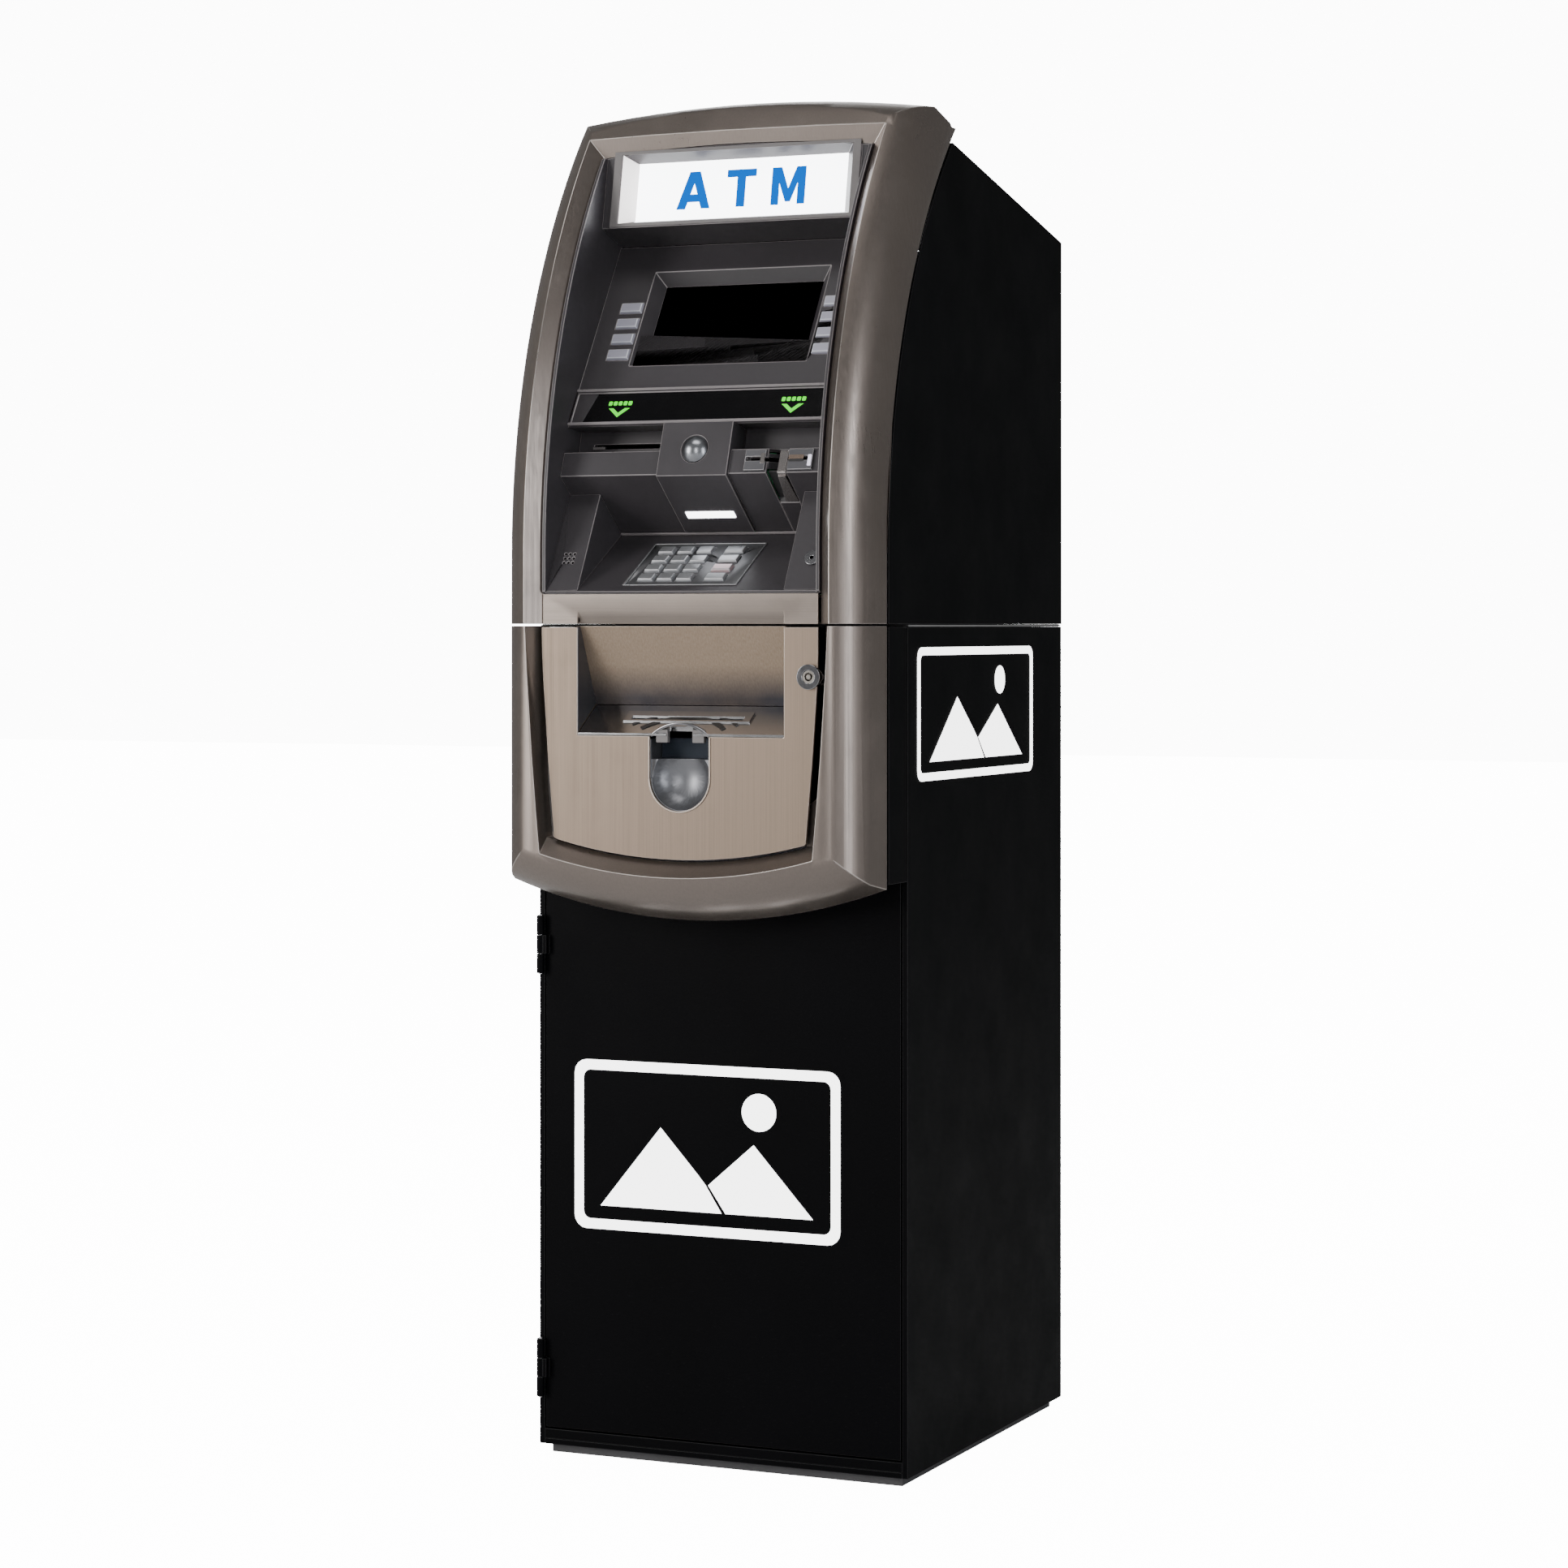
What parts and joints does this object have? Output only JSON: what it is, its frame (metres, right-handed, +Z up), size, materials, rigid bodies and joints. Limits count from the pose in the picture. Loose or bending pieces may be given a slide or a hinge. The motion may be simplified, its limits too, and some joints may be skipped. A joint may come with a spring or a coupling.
{
  "type": "atm machine",
  "caption": "Free-standing retail cash machine: black steel safe cabinet and hood, hinged bronze-grey fascias, screen, side keys, keypad, card and receipt slots, cash tray",
  "frame": {"origin": "centre of the overall box, on the floor", "axes": "+Z up, -Y is the customer's side, +X to the customer's right"},
  "size_m": [0.415, 0.555, 1.405],
  "materials": {
    "cabinet_paint": "satin black powder coat",
    "plinth_steel": "dark grey paint",
    "black_plastic": "black moulded plastic",
    "zinc_steel": "zinc-plated sheet steel",
    "bright_steel": "turned steel",
    "circuit_board": "green circuit board",
    "cassette_plastic": "dark grey moulded plastic",
    "dark_metal": "dark painted metal",
    "bezel_paint": "bronze-grey metallic paint on a moulding",
    "panel_metal": "champagne metallic, finely brushed",
    "tray_chrome": "bright chrome",
    "scoop_plastic": "smoked grey, glossy",
    "key_metal": "nickel-plated",
    "control_plastic": "dark grey, lightly textured plastic",
    "sign_white": "white backlit sign plastic",
    "screen_glass": "black screen, switched off",
    "indicator_gloss": "black gloss window with green marks",
    "dome_chrome": "mirror dome",
    "reader_plastic": "dark grey gloss plastic",
    "keypad_metal": "grey metal plate",
    "lamp_white": "white diffuser",
    "paper_white": "thermal paper",
    "side_key_plastic": "light blue-grey plastic",
    "key_metal_cap": "grey metal key"
  },
  "bodies": {
    "cabinet": {"vault_cabinet": "cabinet_paint", "base_plinth": "plinth_steel", "hood_shell": "cabinet_paint", "power_inlet": "black_plastic", "power_supply": "zinc_steel", "controller": "circuit_board", "dispenser_frame": "zinc_steel", "cash_cassette": "cassette_plastic", "dispenser_motor": "dark_metal", "bill_chute": "zinc_steel", "hinge_pins": "bright_steel"},
    "pick_roller": {"pick_roller": "zinc_steel"},
    "safe_door": {"vault_door": "cabinet_paint", "fascia_hinge_pins": "bright_steel"},
    "lock_bolts": {"lock_bolts": "bright_steel"},
    "vault_handle": {"vault_handle": "bright_steel"},
    "combination_dial": {"combination_dial": "black_plastic"},
    "lower_fascia": {"lower_bezel": "bezel_paint", "dispenser_panel": "panel_metal", "cash_tray": "tray_chrome", "finger_scoop": "scoop_plastic", "key_lock_barrel": "tray_chrome"},
    "key_lock_plug": {"key_lock_plug": "key_metal"},
    "upper_fascia": {"upper_bezel": "bezel_paint", "control_panel": "control_plastic", "ledge_trim": "panel_metal", "sign_panel": "sign_white", "screen": "screen_glass", "indicator_panel": "indicator_gloss", "camera_dome": "dome_chrome", "card_reader": "reader_plastic", "receipt_printer": "black_plastic", "keypad_plate": "keypad_metal", "headphone_jack": "tray_chrome", "light_bar": "lamp_white"},
    "paper_roll": {"paper_roll": "paper_white"},
    "side_key_l1": {"side_key_l1": "side_key_plastic"},
    "side_key_l2": {"side_key_l2": "side_key_plastic"},
    "side_key_l3": {"side_key_l3": "side_key_plastic"},
    "side_key_l4": {"side_key_l4": "side_key_plastic"},
    "side_key_r1": {"side_key_r1": "side_key_plastic"},
    "side_key_r2": {"side_key_r2": "side_key_plastic"},
    "side_key_r3": {"side_key_r3": "side_key_plastic"},
    "side_key_r4": {"side_key_r4": "side_key_plastic"},
    "key_1": {"key_1": "key_metal_cap"},
    "key_2": {"key_2": "key_metal_cap"},
    "key_3": {"key_3": "key_metal_cap"},
    "key_cancel": {"key_cancel": "key_metal_cap"},
    "key_4": {"key_4": "key_metal_cap"},
    "key_5": {"key_5": "key_metal_cap"},
    "key_6": {"key_6": "key_metal_cap"},
    "key_clear": {"key_clear": "key_metal_cap"},
    "key_7": {"key_7": "key_metal_cap"},
    "key_8": {"key_8": "key_metal_cap"},
    "key_9": {"key_9": "key_metal_cap"},
    "key_enter": {"key_enter": "key_metal_cap"},
    "key_left_blank": {"key_left_blank": "key_metal_cap"},
    "key_0": {"key_0": "key_metal_cap"},
    "key_right_blank": {"key_right_blank": "key_metal_cap"},
    "key_lower_blank": {"key_lower_blank": "key_metal_cap"}
  },
  "joints": [
    {"name": "safe_door_hinge", "type": "hinge", "parent": "cabinet", "child": "safe_door", "pos_m": [-0.2035, -0.1735, 0.44], "axis": [0, 0, -1], "range_deg": [0, 90]},
    {"name": "lower_fascia_hinge", "type": "hinge", "parent": "safe_door", "child": "lower_fascia", "pos_m": [-0.2043, -0.2195, 0.73], "axis": [0, 0, -1], "range_deg": [0, 90]},
    {"name": "upper_fascia_hinge", "type": "hinge", "parent": "cabinet", "child": "upper_fascia", "pos_m": [-0.2043, -0.2195, 0.93], "axis": [0, 0, -1], "range_deg": [0, 90]},
    {"name": "handle_turn", "type": "hinge", "parent": "safe_door", "child": "vault_handle", "pos_m": [-0.06, -0.1685, 0.66], "axis": [0, -1, 0], "range_deg": [0, 90]},
    {"name": "bolt_slide", "type": "slide", "parent": "safe_door", "child": "lock_bolts", "axis": [1, 0, 0], "range_m": [0, 0.014]},
    {"name": "dial_spin", "type": "hinge", "parent": "safe_door", "child": "combination_dial", "pos_m": [0.06, -0.1685, 0.66], "axis": [0, -1, 0], "continuous": true},
    {"name": "key_turn", "type": "hinge", "parent": "lower_fascia", "child": "key_lock_plug", "pos_m": [0.142, -0.2485, 0.811], "axis": [0, -1, 0], "range_deg": [0, 90]},
    {"name": "pick_roller_spin", "type": "hinge", "parent": "cabinet", "child": "pick_roller", "pos_m": [0, -0.0585, 0.47], "axis": [1, 0, 0], "continuous": true},
    {"name": "paper_roll_spin", "type": "hinge", "parent": "upper_fascia", "child": "paper_roll", "pos_m": [-0.09, -0.0565, 1.052], "axis": [1, 0, 0], "continuous": true},
    {"name": "side_key_l1_press", "type": "slide", "parent": "upper_fascia", "child": "side_key_l1", "axis": [0, 0.8485, -0.5292], "range_m": [0, 0.0015], "stiffness_N_per_m": 400, "springref_m": -0.001},
    {"name": "side_key_l2_press", "type": "slide", "parent": "upper_fascia", "child": "side_key_l2", "axis": [0, 0.8485, -0.5292], "range_m": [0, 0.0015], "stiffness_N_per_m": 400, "springref_m": -0.001},
    {"name": "side_key_l3_press", "type": "slide", "parent": "upper_fascia", "child": "side_key_l3", "axis": [0, 0.8485, -0.5292], "range_m": [0, 0.0015], "stiffness_N_per_m": 400, "springref_m": -0.001},
    {"name": "side_key_l4_press", "type": "slide", "parent": "upper_fascia", "child": "side_key_l4", "axis": [0, 0.8485, -0.5292], "range_m": [0, 0.0015], "stiffness_N_per_m": 400, "springref_m": -0.001},
    {"name": "side_key_r1_press", "type": "slide", "parent": "upper_fascia", "child": "side_key_r1", "axis": [0, 0.8485, -0.5292], "range_m": [0, 0.0015], "stiffness_N_per_m": 400, "springref_m": -0.001},
    {"name": "side_key_r2_press", "type": "slide", "parent": "upper_fascia", "child": "side_key_r2", "axis": [0, 0.8485, -0.5292], "range_m": [0, 0.0015], "stiffness_N_per_m": 400, "springref_m": -0.001},
    {"name": "side_key_r3_press", "type": "slide", "parent": "upper_fascia", "child": "side_key_r3", "axis": [0, 0.8485, -0.5292], "range_m": [0, 0.0015], "stiffness_N_per_m": 400, "springref_m": -0.001},
    {"name": "side_key_r4_press", "type": "slide", "parent": "upper_fascia", "child": "side_key_r4", "axis": [0, 0.8485, -0.5292], "range_m": [0, 0.0015], "stiffness_N_per_m": 400, "springref_m": -0.001},
    {"name": "key_1_press", "type": "slide", "parent": "upper_fascia", "child": "key_1", "axis": [0, 0.5007, -0.8656], "range_m": [0, 0.0015], "stiffness_N_per_m": 400, "springref_m": -0.001},
    {"name": "key_2_press", "type": "slide", "parent": "upper_fascia", "child": "key_2", "axis": [0, 0.5007, -0.8656], "range_m": [0, 0.0015], "stiffness_N_per_m": 400, "springref_m": -0.001},
    {"name": "key_3_press", "type": "slide", "parent": "upper_fascia", "child": "key_3", "axis": [0, 0.5007, -0.8656], "range_m": [0, 0.0015], "stiffness_N_per_m": 400, "springref_m": -0.001},
    {"name": "key_cancel_press", "type": "slide", "parent": "upper_fascia", "child": "key_cancel", "axis": [0, 0.5007, -0.8656], "range_m": [0, 0.0015], "stiffness_N_per_m": 400, "springref_m": -0.001},
    {"name": "key_4_press", "type": "slide", "parent": "upper_fascia", "child": "key_4", "axis": [0, 0.5007, -0.8656], "range_m": [0, 0.0015], "stiffness_N_per_m": 400, "springref_m": -0.001},
    {"name": "key_5_press", "type": "slide", "parent": "upper_fascia", "child": "key_5", "axis": [0, 0.5007, -0.8656], "range_m": [0, 0.0015], "stiffness_N_per_m": 400, "springref_m": -0.001},
    {"name": "key_6_press", "type": "slide", "parent": "upper_fascia", "child": "key_6", "axis": [0, 0.5007, -0.8656], "range_m": [0, 0.0015], "stiffness_N_per_m": 400, "springref_m": -0.001},
    {"name": "key_clear_press", "type": "slide", "parent": "upper_fascia", "child": "key_clear", "axis": [0, 0.5007, -0.8656], "range_m": [0, 0.0015], "stiffness_N_per_m": 400, "springref_m": -0.001},
    {"name": "key_7_press", "type": "slide", "parent": "upper_fascia", "child": "key_7", "axis": [0, 0.5007, -0.8656], "range_m": [0, 0.0015], "stiffness_N_per_m": 400, "springref_m": -0.001},
    {"name": "key_8_press", "type": "slide", "parent": "upper_fascia", "child": "key_8", "axis": [0, 0.5007, -0.8656], "range_m": [0, 0.0015], "stiffness_N_per_m": 400, "springref_m": -0.001},
    {"name": "key_9_press", "type": "slide", "parent": "upper_fascia", "child": "key_9", "axis": [0, 0.5007, -0.8656], "range_m": [0, 0.0015], "stiffness_N_per_m": 400, "springref_m": -0.001},
    {"name": "key_enter_press", "type": "slide", "parent": "upper_fascia", "child": "key_enter", "axis": [0, 0.5007, -0.8656], "range_m": [0, 0.0015], "stiffness_N_per_m": 400, "springref_m": -0.001},
    {"name": "key_left_blank_press", "type": "slide", "parent": "upper_fascia", "child": "key_left_blank", "axis": [0, 0.5007, -0.8656], "range_m": [0, 0.0015], "stiffness_N_per_m": 400, "springref_m": -0.001},
    {"name": "key_0_press", "type": "slide", "parent": "upper_fascia", "child": "key_0", "axis": [0, 0.5007, -0.8656], "range_m": [0, 0.0015], "stiffness_N_per_m": 400, "springref_m": -0.001},
    {"name": "key_right_blank_press", "type": "slide", "parent": "upper_fascia", "child": "key_right_blank", "axis": [0, 0.5007, -0.8656], "range_m": [0, 0.0015], "stiffness_N_per_m": 400, "springref_m": -0.001},
    {"name": "key_lower_blank_press", "type": "slide", "parent": "upper_fascia", "child": "key_lower_blank", "axis": [0, 0.5007, -0.8656], "range_m": [0, 0.0015], "stiffness_N_per_m": 400, "springref_m": -0.001}
  ],
  "couplings": [
    {"joint": "bolt_slide", "follows": "handle_turn", "m_per_rad": 0.0089127}
  ]
}
